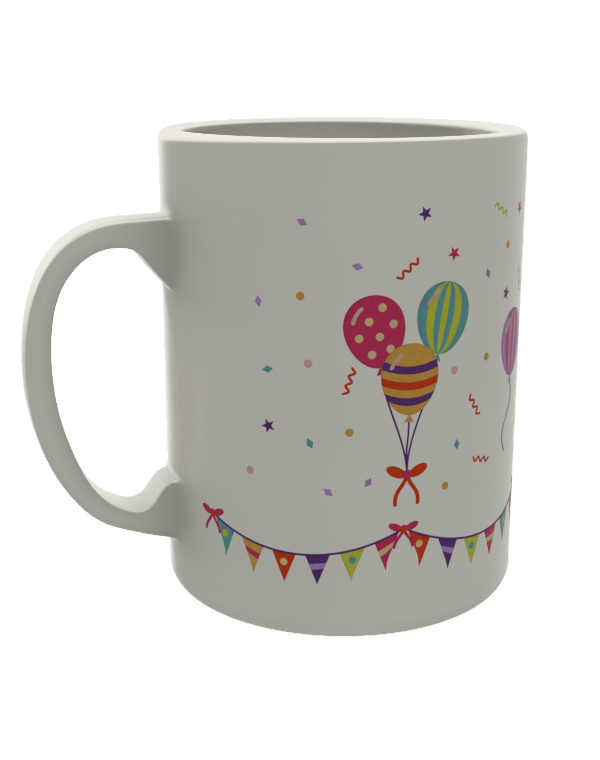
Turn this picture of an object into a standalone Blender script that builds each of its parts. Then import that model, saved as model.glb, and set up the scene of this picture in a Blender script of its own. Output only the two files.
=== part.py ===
"""A straight-sided glazed ceramic mug with a flat band handle.

Metres, +Z up. The mug stands on its foot at z = 0 with its handle towards -X,
and the origin lies under the middle of its bounding box. Body and handle are
one fired piece, so they are fused into one solid.
"""

import math

import bpy
import numpy as np

# Body: a cylinder turned about an upright axis
BODY_RADIUS = 0.0430
HEIGHT = 0.1112
WALL = 0.0045
RIM_OUTER_ROUND = 0.0024
BASE_ROUND = 0.0051
FOOT_WIDTH = 0.0028
RECESS_DEPTH = 0.0014
RECESS_SLOPE = 0.0012
FLOOR_THICKNESS = 0.0060
INNER_FLOOR_ROUND = 0.0090
TURNS = 96

# Handle: a band in the plane y = 0, seen from the side as an outer and an inner
# outline. Each station pairs a point of the one with a point of the other, as
# (distance from the body's axis, height) in metres, from the upper root round to
# the lower one.
HANDLE_STATIONS = (
    ((0.0430, 0.0924), (0.0430, 0.0759)),
    ((0.0485, 0.0923), (0.0481, 0.0820)),
    ((0.0520, 0.0921), (0.0507, 0.0849)),
    ((0.0560, 0.0916), (0.0545, 0.0862)),
    ((0.0630, 0.0899), (0.0605, 0.0850)),
    ((0.0700, 0.0839), (0.0658, 0.0808)),
    ((0.0746, 0.0738), (0.0696, 0.0738)),
    ((0.0763, 0.0620), (0.0708, 0.0625)),
    ((0.0759, 0.0515), (0.0704, 0.0523)),
    ((0.0732, 0.0400), (0.0679, 0.0423)),
    ((0.0687, 0.0300), (0.0638, 0.0321)),
    ((0.0618, 0.0224), (0.0587, 0.0265)),
    ((0.0540, 0.0187), (0.0526, 0.0238)),
    ((0.0492, 0.0171), (0.0489, 0.0251)),
    ((0.0460, 0.0162), (0.0460, 0.0287)),
    ((0.0430, 0.0154), (0.0430, 0.0305)),
)
HANDLE_WIDTH = 0.0117
HANDLE_EDGE_ROUND = 0.0010
HANDLE_CROWN = 0.0003
SECTIONS_BETWEEN_STATIONS = 2
POINTS_ON_EDGE_ROUND = 3

# Root: the handle's sides open out before they meet the wall
SIDE_FLARE = 0.0030
END_FLARE = 0.0012
FLARE_ANGLE = math.radians(52)
BURIED_DEPTH = 0.0030
ROOT_SECTIONS = 5

GLAZE_COLOUR = (0.78, 0.77, 0.72, 1.0)
GLAZE_ROUGHNESS = 0.18


def clear_scene():
    for found in list(bpy.data.objects):
        bpy.data.objects.remove(found)


def new_collection(name):
    made = bpy.data.collections.new(name)
    bpy.context.scene.collection.children.link(made)
    return made


def glazed_ceramic():
    """White glaze fired over a white body."""
    material = bpy.data.materials.new("white_glaze")
    material.use_nodes = True
    shader = material.node_tree.nodes["Principled BSDF"]
    shader.inputs["Base Color"].default_value = GLAZE_COLOUR
    shader.inputs["Roughness"].default_value = GLAZE_ROUGHNESS
    shader.inputs["Metallic"].default_value = 0.0
    return material


def arc(centre, radius, start, stop, steps):
    """Points on a circle from one angle to another, in degrees, both ends kept."""
    angles = np.radians(np.linspace(start, stop, steps + 1))
    return [
        (centre[0] + radius * math.cos(angle), centre[1] + radius * math.sin(angle))
        for angle in angles
    ]


def body_profile():
    """The turned outline (radius, height): inner floor, inner wall, rim, outside, foot."""
    inner_radius = BODY_RADIUS - WALL
    rim_inner_round = WALL - RIM_OUTER_ROUND
    crest_radius = BODY_RADIUS - RIM_OUTER_ROUND
    foot_outer = BODY_RADIUS - BASE_ROUND
    foot_inner = foot_outer - FOOT_WIDTH
    floor_round_centre = (
        inner_radius - INNER_FLOOR_ROUND,
        FLOOR_THICKNESS + INNER_FLOOR_ROUND,
    )
    points = [(0.0, FLOOR_THICKNESS)]
    points += arc(floor_round_centre, INNER_FLOOR_ROUND, 270, 360, 8)
    points += arc((crest_radius, HEIGHT - rim_inner_round), rim_inner_round, 180, 90, 5)
    points += arc((crest_radius, HEIGHT - RIM_OUTER_ROUND), RIM_OUTER_ROUND, 90, 0, 5)[1:]
    points += arc((foot_outer, BASE_ROUND), BASE_ROUND, 0, -90, 7)
    points.append((foot_inner, 0.0))
    points.append((foot_inner - RECESS_SLOPE, RECESS_DEPTH))
    points.append((0.0, RECESS_DEPTH))
    return points


def turned_body(collection, axis_x):
    profile = body_profile()
    mesh = bpy.data.meshes.new("mug")
    vertices = [(radius, 0.0, height) for radius, height in profile]
    edges = [(index, index + 1) for index in range(len(profile) - 1)]
    mesh.from_pydata(vertices, edges, [])
    body = bpy.data.objects.new("mug", mesh)
    body.location = (axis_x, 0.0, 0.0)
    collection.objects.link(body)
    screw = body.modifiers.new("turn", "SCREW")
    screw.axis = "Z"
    screw.angle = math.tau
    screw.steps = TURNS
    screw.render_steps = TURNS
    screw.use_merge_vertices = True
    screw.merge_threshold = 0.00001
    screw.use_smooth_shade = True
    return body


def spline_through(points, spacing, wanted):
    """A curve with continuous curvature through the points, read at the wanted places.

    spacing holds each point's place along the curve. The slopes solve the usual
    tridiagonal system of a natural cubic spline.
    """
    points = np.asarray(points, float)
    gaps = np.diff(spacing)
    count = len(points)
    system = np.zeros((count, count))
    known = np.zeros_like(points)
    system[0, 0] = 1
    system[-1, -1] = 1
    rise = np.diff(points, axis=0) / gaps[:, None]
    for row in range(1, count - 1):
        system[row, row - 1] = gaps[row - 1]
        system[row, row] = 2 * (gaps[row - 1] + gaps[row])
        system[row, row + 1] = gaps[row]
        known[row] = 6 * (rise[row] - rise[row - 1])
    bend = np.linalg.solve(system, known)
    piece = np.clip(np.searchsorted(spacing, wanted, side="right") - 1, 0, count - 2)
    gap = gaps[piece][:, None]
    after = (wanted - spacing[piece])[:, None]
    before = gap - after
    curved = (bend[piece] * before**3 + bend[piece + 1] * after**3) / (6 * gap)
    left = (points[piece] / gap - bend[piece] * gap / 6) * before
    right = (points[piece + 1] / gap - bend[piece + 1] * gap / 6) * after
    return curved + left + right


def handle_outlines():
    """Matching points of the outer and the inner outline, closer together at the roots."""
    outer = np.array([station[0] for station in HANDLE_STATIONS])
    inner = np.array([station[1] for station in HANDLE_STATIONS])
    middle = (outer + inner) / 2
    steps = np.linalg.norm(np.diff(middle, axis=0), axis=1)
    spacing = np.concatenate(([0.0], np.cumsum(steps)))
    places = [0.0]
    last = len(steps) - 1
    for index, start in enumerate(spacing[:-1]):
        at_root = index in (0, last)
        pieces = ROOT_SECTIONS if at_root else SECTIONS_BETWEEN_STATIONS
        places += list(np.linspace(start, spacing[index + 1], pieces + 1)[1:])
    wanted = np.array(places)
    return spline_through(outer, spacing, wanted), spline_through(inner, spacing, wanted)


def band_section(half_width, half_depth, edge_round):
    """A rounded rectangle (across, along the depth) with slightly crowned outer faces."""
    loop = []
    corners = ((1, 1, 0), (-1, 1, 90), (-1, -1, 180), (1, -1, 270))
    for side, end, start in corners:
        centre = (side * (half_width - edge_round), end * (half_depth - edge_round))
        loop += arc(centre, edge_round, start, start + 90, POINTS_ON_EDGE_ROUND)
        if start in (0, 180):
            loop.append((0.0, end * (half_depth + HANDLE_CROWN)))
    return loop


def flare(distance, radius):
    """How far a surface has opened out at this distance from the wall.

    It follows a quarter round of the given radius up to FLARE_ANGLE, then runs on
    straight, so that it crosses the wall at a clear angle, and stops at one radius.
    """
    reach = radius - distance
    if reach <= 0:
        return 0.0
    turn = radius * math.sin(FLARE_ANGLE)
    if reach <= turn:
        return radius - math.sqrt(radius**2 - reach**2)
    opened = radius * (1 - math.cos(FLARE_ANGLE))
    return min(opened + (reach - turn) * math.tan(FLARE_ANGLE), radius)


def handle_sections():
    """The handle's closed loops of points, from inside the wall at one root to the other.

    They are measured from the body's axis, with the handle towards -X.
    """
    outer, inner = handle_outlines()
    buried = np.array((-BURIED_DEPTH, 0.0))
    outer = np.vstack((outer[0] + buried, outer, outer[-1] + buried))
    inner = np.vstack((inner[0] + buried, inner, inner[-1] + buried))
    loops = []
    for far, near in zip(outer, inner):
        centre = (far + near) / 2
        depth = np.linalg.norm(far - near)
        along = (far - near) / depth
        side_gap = centre[0] - math.sqrt(BODY_RADIUS**2 - (HANDLE_WIDTH / 2) ** 2)
        end_gap = centre[0] - BODY_RADIUS
        half_width = HANDLE_WIDTH / 2 + flare(side_gap, SIDE_FLARE)
        half_depth = depth / 2 + flare(end_gap, END_FLARE)
        loop = [
            (-(centre[0] + along[0] * up), across, centre[1] + along[1] * up)
            for across, up in band_section(half_width, half_depth, HANDLE_EDGE_ROUND)
        ]
        loops.append(loop)
    return loops


def lofted_handle(collection, loops, axis_x):
    """Skins the sections in order and closes both ends."""
    size = len(loops[0])
    vertices = [point for loop in loops for point in loop]
    faces = []
    for index in range(len(loops) - 1):
        start = index * size
        for step in range(size):
            after = (step + 1) % size
            faces.append((start + step, start + size + step, start + size + after, start + after))
    faces.append(tuple(range(size)))
    end = (len(loops) - 1) * size
    faces.append(tuple(reversed(range(end, end + size))))
    mesh = bpy.data.meshes.new("handle_band")
    mesh.from_pydata(vertices, [], faces)
    handle = bpy.data.objects.new("handle_band", mesh)
    handle.location = (axis_x, 0.0, 0.0)
    handle.hide_render = True
    handle.display_type = "WIRE"
    collection.objects.link(handle)
    return handle


def build_mug():
    clear_scene()
    mug_parts = new_collection("ceramic_mug")
    helpers = new_collection("mug_helpers")
    loops = handle_sections()
    handle_reach = -min(point[0] for loop in loops for point in loop)
    axis_x = (handle_reach - BODY_RADIUS) / 2
    body = turned_body(mug_parts, axis_x)
    handle = lofted_handle(helpers, loops, axis_x)
    join = body.modifiers.new("fuse_handle", "BOOLEAN")
    join.operation = "UNION"
    join.object = handle
    join.solver = "EXACT"
    body.data.materials.append(glazed_ceramic())


build_mug()
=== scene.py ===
import math

import bpy
import numpy as np
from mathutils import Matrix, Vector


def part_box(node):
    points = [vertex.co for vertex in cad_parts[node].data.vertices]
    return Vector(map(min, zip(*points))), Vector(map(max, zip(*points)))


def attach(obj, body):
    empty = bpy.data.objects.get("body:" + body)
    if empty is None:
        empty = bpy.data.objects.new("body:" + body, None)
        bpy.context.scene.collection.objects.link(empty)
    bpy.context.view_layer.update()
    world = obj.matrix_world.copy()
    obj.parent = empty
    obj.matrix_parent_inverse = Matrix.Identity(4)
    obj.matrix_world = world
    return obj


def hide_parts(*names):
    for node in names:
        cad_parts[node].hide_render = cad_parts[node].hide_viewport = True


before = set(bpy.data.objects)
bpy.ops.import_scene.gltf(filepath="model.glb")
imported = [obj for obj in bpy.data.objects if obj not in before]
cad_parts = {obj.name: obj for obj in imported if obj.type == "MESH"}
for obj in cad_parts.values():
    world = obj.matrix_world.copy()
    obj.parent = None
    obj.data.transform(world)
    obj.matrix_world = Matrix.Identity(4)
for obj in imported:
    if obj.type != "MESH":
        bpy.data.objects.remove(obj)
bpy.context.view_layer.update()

# Camera: it stands a little above the rim and looks down at the mug, turned so that the
# handle comes forward on the left. Its place is measured from the body's upright axis.
BODY_RADIUS = 0.0430
AXIS_X = float(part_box("mug")[1][0]) - BODY_RADIUS
VIEW_TURN = math.radians(19.46)
VIEW_PITCH = math.radians(15.014)
VIEW_DISTANCE = 0.29384
VIEW_HEIGHT = 0.12856
AXIS_RIGHT_OF_VIEW = 0.00993
LENS_MM = 58.37
SENSOR_HEIGHT_MM = 36.0

camera_data = bpy.data.cameras.new("photo_camera")
camera_data.sensor_fit = "VERTICAL"
camera_data.sensor_height = SENSOR_HEIGHT_MM
camera_data.lens = LENS_MM
camera_data.clip_start = 0.01
camera = bpy.data.objects.new("photo_camera", camera_data)
camera.location = (
    AXIS_X - VIEW_DISTANCE * math.sin(VIEW_TURN) - AXIS_RIGHT_OF_VIEW * math.cos(VIEW_TURN),
    -VIEW_DISTANCE * math.cos(VIEW_TURN) + AXIS_RIGHT_OF_VIEW * math.sin(VIEW_TURN),
    VIEW_HEIGHT,
)
camera.rotation_euler = (math.pi / 2 - VIEW_PITCH, 0.0, -VIEW_TURN)
bpy.context.scene.collection.objects.link(camera)
bpy.context.scene.camera = camera


# Body: a straight-sided cup, jiggered from white clay on a turning mould, so every ring is a
# true circle. Its lip is rounded over by sponge, and two windows are left where the handle joins.
HEIGHT = 0.1112
INK_ROOM = 0.00005
WALL_RADIUS = BODY_RADIUS - INK_ROOM
WALL = 0.0045
RIM_OUTER_ROUND = 0.0024
BASE_ROUND = 0.0051
FLOOR_THICKNESS = 0.0060
INNER_ROUND_HEIGHT = 0.0160
INNER_ROUND_POWER = 6
LIP_CREST_ROUND = 0.0015
LIP_SLOPE = 25.0
LIP_SLOPE_LENGTH = 0.0016
LIP_INNER_ROUND = 0.0013
LIP_SWELL_HEIGHT = 0.0140
LIP_CREST_STEPS = 5
LIP_SLOPE_STEPS = 4
LIP_INNER_STEPS = 8
RIM_STEPS = 12
BASE_STEPS = 16
FOOT_WIDTH = 0.0028
RECESS_DEPTH = 0.0014
RECESS_SLOPE = 0.0012
RECESS_BEND_FROM = 0.45
RECESS_BEND_REACH = 0.0009
RECESS_BEND_STEPS = 5
CEILING_STEPS = 8
GLAZE_LINE = 0.0003
GLAZE_EDGE = 0.00012
GLAZE_EDGE_DIPS = 0.2
TURNS = 256
INSIDE_ROWS = 64
BOWL_SAMPLES = 4001
SWELL_SAMPLES = 60
WINDOW_COLUMNS = 26
WINDOW_ROWS = 30
WALL_ROWS = (9, WINDOW_ROWS, 29, WINDOW_ROWS, 2)
WINDOW_HALF_HEIGHT = 0.0156
UPPER_ROOT = (0.0924, 0.0759)
LOWER_ROOT = (0.0154, 0.0305)


def circle_arc(centre, radius, start, stop, steps):
    """Centre plus radius times (cosine, sine) of angles spread evenly from start to stop."""
    angles = np.radians(np.linspace(start, stop, steps + 1))
    return np.asarray(centre) + radius * np.stack((np.cos(angles), np.sin(angles)), axis=1)


def even_steps(points, steps):
    """The same path read at even distances along it."""
    lengths = np.linalg.norm(np.diff(points, axis=0), axis=1)
    along = np.concatenate(([0.0], np.cumsum(lengths)))
    wanted = np.linspace(0.0, along[-1], steps + 1)
    return np.stack([np.interp(wanted, along, points[:, axis]) for axis in range(2)], axis=1)


def lip_outline():
    """The lip's inner half as (radius, height), going up: a small round out of the wall, a straight
    slope and the round of the crest, each leaving the last in its own direction."""
    lean = math.radians(LIP_SLOPE)
    crest_centre = (WALL_RADIUS - RIM_OUTER_ROUND, HEIGHT - LIP_CREST_ROUND)
    crest = circle_arc(crest_centre, LIP_CREST_ROUND, 90 + LIP_SLOPE, 90, LIP_CREST_STEPS)
    foot = crest[0] - LIP_SLOPE_LENGTH * np.array((math.cos(lean), math.sin(lean)))
    inner_centre = foot + LIP_INNER_ROUND * np.array((math.sin(lean), -math.cos(lean)))
    inner = circle_arc(inner_centre, LIP_INNER_ROUND, 180, 90 + LIP_SLOPE, LIP_INNER_STEPS)
    slope = np.linspace(inner[-1], crest[0], LIP_SLOPE_STEPS + 1)[1:-1]
    return np.vstack((inner, slope, crest))


def inside_outline():
    """Inner floor and wall as (radius, height).

    The round between them is a quarter of a superellipse: the radius goes with the sine and
    the height with one less the cosine, each raised to two over the power. Under the lip the
    wall swells inwards by three times the square less twice the cube of the share risen.
    """
    inner_radius = WALL_RADIUS - WALL
    turn = np.linspace(0.0, math.pi / 2, BOWL_SAMPLES)
    bowl = np.stack((
        inner_radius * np.sin(turn) ** (2 / INNER_ROUND_POWER),
        FLOOR_THICKNESS + INNER_ROUND_HEIGHT * (1 - np.cos(turn) ** (2 / INNER_ROUND_POWER)),
    ), axis=1)
    lip_radius, lip_height = lip_outline()[0]
    rise = np.linspace(0.0, 1.0, SWELL_SAMPLES)
    swell = np.stack((
        inner_radius - (inner_radius - lip_radius) * rise**2 * (3 - 2 * rise),
        lip_height - LIP_SWELL_HEIGHT * (1 - rise),
    ), axis=1)
    return even_steps(np.vstack((bowl, swell)), INSIDE_ROWS)


def outside_heights():
    """Heights of the outer wall's rows, going down, with the windows' edges on whole rows."""
    upper = sum(UPPER_ROOT) / 2
    lower = sum(LOWER_ROOT) / 2
    stops = (
        HEIGHT - RIM_OUTER_ROUND, upper + WINDOW_HALF_HEIGHT, upper - WINDOW_HALF_HEIGHT,
        lower + WINDOW_HALF_HEIGHT, lower - WINDOW_HALF_HEIGHT, BASE_ROUND,
    )
    runs = [
        np.linspace(start, stop, count + 1)[1:]
        for start, stop, count in zip(stops, stops[1:], WALL_ROWS)
    ]
    first_row_of_run = np.concatenate(([0], np.cumsum(WALL_ROWS)))
    return np.concatenate([[stops[0]]] + runs), first_row_of_run


def foot_outline():
    """Base round, glaze edge, hidden seat of the bare foot and the recess, as (radius, height)."""
    round_centre = (WALL_RADIUS - BASE_ROUND, BASE_ROUND)
    last_angle = -math.degrees(math.asin(1 - GLAZE_LINE / BASE_ROUND))
    base = circle_arc(round_centre, BASE_ROUND, 0.0, last_angle, BASE_STEPS)[1:]
    dip = GLAZE_EDGE_DIPS * GLAZE_EDGE
    edge_outer = base[-1] + np.array(((-GLAZE_EDGE, -dip), (-2 * GLAZE_EDGE, GLAZE_EDGE)))
    foot_inner = WALL_RADIUS - BASE_ROUND - FOOT_WIDTH
    slope_at = foot_inner - RECESS_SLOPE * GLAZE_LINE / RECESS_DEPTH
    edge_inner = np.array((
        (slope_at + 2 * GLAZE_EDGE, GLAZE_LINE + GLAZE_EDGE),
        (slope_at + GLAZE_EDGE, GLAZE_LINE - dip), (slope_at, GLAZE_LINE),
    ))
    corner = np.array((foot_inner - RECESS_SLOPE, RECESS_DEPTH))
    easing = np.linspace(0.0, 1.0, RECESS_BEND_STEPS + 1)[1:, None]
    before = edge_inner[-1] + (corner - edge_inner[-1]) * RECESS_BEND_FROM
    after = corner - np.array((RECESS_BEND_REACH, 0.0))
    bend = (1 - easing) ** 2 * before + 2 * (1 - easing) * easing * corner + easing**2 * after
    inwards = np.linspace(after[0], 0.0, CEILING_STEPS + 1)[1:-1]
    ceiling = np.stack((inwards, np.full_like(inwards, RECESS_DEPTH)), axis=1)
    return np.vstack((base, edge_outer, edge_inner, before[None], bend, ceiling))


def rings(outline, turns):
    """Turns each (radius, height) into a ring round the axis: radius times (cosine, sine)."""
    angle = np.arange(turns) * 2 * np.pi / turns
    radius, height = outline[:, 0, None], outline[:, 1, None]
    shape = (len(outline), turns)
    return np.stack((
        radius * np.cos(angle), radius * np.sin(angle), np.broadcast_to(height, shape)
    ), axis=2)


def cells(index, closed):
    """One quad for each cell of a grid of point numbers, closed round its columns or not."""
    after = np.roll(index, -1, axis=1) if closed else index[:, 1:]
    here = index if closed else index[:, :-1]
    return np.stack((here[:-1], here[1:], after[1:], after[:-1]), axis=2)


inside = inside_outline()
rim_centre = WALL_RADIUS - RIM_OUTER_ROUND
inner_rim = lip_outline()
outer_rim = circle_arc((rim_centre, HEIGHT - RIM_OUTER_ROUND), RIM_OUTER_ROUND, 90, 0, RIM_STEPS)
wall_heights, wall_runs = outside_heights()
outer_wall = np.stack((np.full(len(wall_heights), WALL_RADIUS), wall_heights), axis=1)
outline = np.vstack((inside[1:], inner_rim[1:], outer_rim[1:], outer_wall[1:], foot_outline()))
first_wall_row = len(inside) - 1 + len(inner_rim) - 1 + len(outer_rim) - 1 - 1

body_points = rings(outline, TURNS).reshape(-1, 3)
body_index = np.arange(len(body_points)).reshape(len(outline), TURNS)
body_cells = cells(body_index, closed=True)
first_column = (TURNS - WINDOW_COLUMNS) // 2
last_column = first_column + WINDOW_COLUMNS
upper_rows = first_wall_row + wall_runs[1], first_wall_row + wall_runs[2]
lower_rows = first_wall_row + wall_runs[3], first_wall_row + wall_runs[4]
solid_wall = np.ones(body_cells.shape[:2], bool)
for top_row, bottom_row in (upper_rows, lower_rows):
    solid_wall[top_row:bottom_row, first_column:last_column] = False
body_quads = body_cells[solid_wall]
floor_pole = np.array((0.0, 0.0, FLOOR_THICKNESS))
recess_pole = np.array((0.0, 0.0, RECESS_DEPTH))


# Handle: a flat strap of the same clay, pressed in a mould, set on with slip while leather
# hard and smoothed into the wall by a wet brush. Body and handle are fired and glazed as one.
HANDLE_STATIONS = (
    ((0.0430, 0.0924), (0.0430, 0.0759)),
    ((0.0485, 0.0922), (0.0481, 0.0820)),
    ((0.0520, 0.0921), (0.0507, 0.0849)),
    ((0.0560, 0.09185), (0.0545, 0.0861)),
    ((0.0630, 0.08975), (0.0605, 0.0850)),
    ((0.0699, 0.0838), (0.0657, 0.0808)),
    ((0.0745, 0.0738), (0.0693, 0.0738)),
    ((0.07625, 0.0620), (0.0708, 0.0625)),
    ((0.0760, 0.0515), (0.0702, 0.0523)),
    ((0.0734, 0.0400), (0.0679, 0.0423)),
    ((0.0686, 0.0300), (0.0637, 0.0321)),
    ((0.0618, 0.0224), (0.0587, 0.0265)),
    ((0.0581, 0.0203), (0.0558, 0.0249)),
    ((0.0540, 0.0187), (0.0526, 0.0240)),
    ((0.0492, 0.0171), (0.0489, 0.02555)),
    ((0.0460, 0.0162), (0.0460, 0.0293)),
    ((0.0430, 0.0154), (0.0430, 0.0307)),
)
HANDLE_HALF_WIDTH = 0.00585
OUTER_EDGE_ROUND = 0.0020
INNER_EDGE_ROUND = 0.0008
HANDLE_CROWN = 0.00025
HANDLE_SIDE_CROWN = 0.00008
POINTS_ON_HALF_CORNER = 6
HANDLE_RINGS = 170
BLEND_ON_WALL = (0.0062, 0.0036, 0.0030)
BLEND_ON_HANDLE = (0.0023, 0.0016, 0.0008)
BLEND_RINGS = 16
BLEND_NEAR = 0.40
BLEND_FAR = 0.80
PATCH_RINGS = 6
ROOT_SEARCH = (-0.004, 0.014)
ROOT_SEARCH_STEPS = 500
INWARD_STEP = 0.0001
# Painted shade in the corner beside each root of the handle: its depth, the core it is full over,
# its fall and how much faster it falls past the root's ends.
SHADE_DEPTH = 0.42
SHADE_CORE = 0.0040
SHADE_REACH = 0.0075
SHADE_STOPS_SHORT = 0.0020
SHADE_ENDS_STEEPER = 3.0
# Painted shade on the strap's up-facing faces, which the lamp lights, holding their light down near
# the wall.
SHADE_ON_TOPS = (0.715, 0.692)
SHADE_TOPS_CORE = 0.0050
SHADE_TOPS_REACH = (0.0475, 0.1090)
SHADE_TOPS_FADE = (0.0150, 0.0270)
LOOKS_UP_POWER = 0.75
LOOKS_ASIDE = (0.25, 0.80)
# Painted shade on the strap's sides, darker towards the inner outline, and the outline points it is
# measured from.
SHADE_INNER_EDGE = 0.22
SHADE_OUTLINE_POINTS = 120
SHADE_ON_WALL_WITHIN = 0.0001
SHADE_OFF_WALL_BEYOND = 0.00001
# Painted shade inside the cup and on the inner lip: where it begins, its share at the lip and on
# the wall, and its fall with depth.
SHADE_BELOW_FLOOR = 0.001
SHADE_FROM_CREST = (-0.0006, 0.0006)
SHADE_INNER_LIP = 0.48
SHADE_INSIDE = 0.46
SHADE_BELOW_LIP = (0.0006, 0.0034)
SHADE_DOWN_INSIDE = 0.0180
# Painted shade's near-black tones, one outside and one inside the cup.
PAINTED_SHADE_TONES = {
    "painted_shade_outside": (0.0, 0.002, 0.010, 1.0),
    "painted_shade_inside": (0.0, 0.002, 0.035, 1.0),
}
GLAZE_TONES = ((0.3, (0.800, 0.788, 0.700, 1.0)), (0.7, (0.824, 0.814, 0.728, 1.0)))
GLAZE_GLOSS = (0.16, 0.22)
GLAZE_IOR = 1.5
GLAZE_CLOUDS = (45.0, 3.0)
GLAZE_RIPPLES = (260.0, 1.0)
GLAZE_RIPPLE_BUMP = (0.25, 0.00003)
STATION_POINTS = np.array(HANDLE_STATIONS)
MIDDLE_STEPS = np.linalg.norm(np.diff(STATION_POINTS.mean(axis=1), axis=0), axis=1)
STATION_PLACES = np.concatenate(([0.0], np.cumsum(MIDDLE_STEPS)))


def spline_bends(points, places):
    """Second derivatives that let slope and bend run on smoothly through every station."""
    gaps = np.diff(places)
    rise = np.diff(points, axis=0) / gaps[:, None]
    system = np.diag(np.concatenate(([1.0], 2 * (gaps[:-1] + gaps[1:]), [1.0])))
    system += np.diag(np.concatenate((gaps[:-1], [0.0])), -1)
    system += np.diag(np.concatenate(([0.0], gaps[1:])), 1)
    known = np.zeros_like(points)
    known[1:-1] = 6 * np.diff(rise, axis=0)
    return np.linalg.solve(system, known)


def spline_at(points, places, wanted):
    """Cubic pieces between the stations, and straight on past both ends."""
    bends = spline_bends(points, places)
    held = np.clip(wanted, places[0], places[-1])
    piece = np.clip(np.searchsorted(places, held, side="right") - 1, 0, len(places) - 2)
    gap = np.diff(places)[piece][..., None]
    after = (held - places[piece])[..., None]
    before = gap - after
    low, high = points[piece], points[piece + 1]
    low_bend, high_bend = bends[piece], bends[piece + 1]
    value = (low_bend * before**3 + high_bend * after**3) / (6 * gap)
    value += (low / gap - low_bend * gap / 6) * before + (high / gap - high_bend * gap / 6) * after
    slope = (high_bend * after**2 - low_bend * before**2) / (2 * gap)
    slope += (high - low) / gap - (high_bend - low_bend) * gap / 6
    return value + slope * (wanted - held)[..., None]


def strap_loop():
    """The strap's section as one closed loop of points: where each stands and which way it faces.

    A side runs from the middle of one corner round to the middle of the next. Each point has a
    facing angle and the corner pair it stands between, as -1 to 1 across and -1 to 1 up.
    """
    corner = POINTS_ON_HALF_CORNER
    sides = []
    for count, start in ((WINDOW_COLUMNS, 45.0), (WINDOW_ROWS, 135.0)):
        stops = (0, corner, count - corner, count)
        step = np.arange(count)
        facing = np.interp(step, stops, (start, start + 45.0, start + 45.0, start + 90.0))
        sides.append((facing, np.interp(step, stops, (1.0, 1.0, -1.0, -1.0))))
    (top_facing, top_run), (side_facing, side_run) = sides
    facing = np.concatenate((top_facing, side_facing, top_facing + 180.0, side_facing + 180.0))
    across = np.concatenate((top_run, -np.ones(WINDOW_ROWS), -top_run, np.ones(WINDOW_ROWS)))
    up = np.concatenate((np.ones(WINDOW_COLUMNS), side_run, -np.ones(WINDOW_COLUMNS), -side_run))
    return np.radians(facing), across, up


LOOP_FACING, LOOP_ACROSS, LOOP_UP = strap_loop()


def by_facing(side, outer, inner):
    """One value for each point of the loop: the side's by the fourth power of its facing's cosine,
    and the outer or the inner face's by what is left."""
    aside = np.cos(LOOP_FACING) ** 4
    return side * aside + np.where(LOOP_UP > 0.0, outer, inner) * (1 - aside)


def strap_points(place):
    """Points of the strap's skin at places along it, one for each point of the section's loop.

    The section stands between the outer and the inner outline. A corner is its centre plus the
    edge round times (cosine, sine) of the facing, and down the sides the centre moves in even
    steps from the outer corner's to the inner one's. The long faces bulge by a small crown that
    falls with the square of the distance from their middle.
    """
    both = spline_at(STATION_POINTS.reshape(-1, 4), STATION_PLACES, place)
    outer, inner = both[..., :2], both[..., 2:]
    half_depth = np.linalg.norm(outer - inner, axis=-1) / 2
    middle = (outer + inner) / 2
    along = (outer - inner) / (2 * half_depth[..., None])
    edge = INNER_EDGE_ROUND + (OUTER_EDGE_ROUND - INNER_EDGE_ROUND) * (1 + LOOP_UP) / 2
    across = LOOP_ACROSS * (HANDLE_HALF_WIDTH - edge) + edge * np.cos(LOOP_FACING)
    centre_up = LOOP_UP * (half_depth - (OUTER_EDGE_ROUND + INNER_EDGE_ROUND) / 2)
    centre_up = centre_up - (OUTER_EDGE_ROUND - INNER_EDGE_ROUND) / 2
    up = centre_up + edge * np.sin(LOOP_FACING)
    crown = HANDLE_CROWN * (1 - (across / HANDLE_HALF_WIDTH) ** 2) * np.sin(LOOP_FACING)
    bulge = HANDLE_SIDE_CROWN * (1 - (up / half_depth) ** 2) * np.cos(LOOP_FACING)
    up = up + crown
    return np.stack((
        -(middle[..., 0] + along[..., 0] * up), across + bulge, middle[..., 1] + along[..., 1] * up
    ), axis=-1)


def wall_places(points):
    """(distance round the wall, height, distance off the wall) of points near the handle."""
    turn = np.arctan2(points[..., 1], -points[..., 0])
    off = np.hypot(points[..., 0], points[..., 1]) - WALL_RADIUS
    return np.stack((turn * WALL_RADIUS, points[..., 2], off), axis=-1)


def from_wall_places(places):
    """The reverse of wall_places."""
    turn = places[..., 0] / WALL_RADIUS
    reach = WALL_RADIUS + places[..., 2]
    return np.stack((-reach * np.cos(turn), reach * np.sin(turn), places[..., 1]), axis=-1)


def leaving_place(places):
    """For each point of the loop, where along the strap it stands BLEND_ON_HANDLE off the wall."""
    everywhere = np.broadcast_to(places[:, None], (len(places), len(LOOP_UP)))
    off = wall_places(strap_points(everywhere))[..., 2]
    wanted = by_facing(*BLEND_ON_HANDLE)
    after = np.argmax(off > wanted, axis=0)
    column = np.arange(len(LOOP_UP))
    low, high = off[after - 1, column], off[after, column]
    part = (wanted - low) / (high - low)
    return places[after - 1] + part * (places[after] - places[after - 1])


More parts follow.
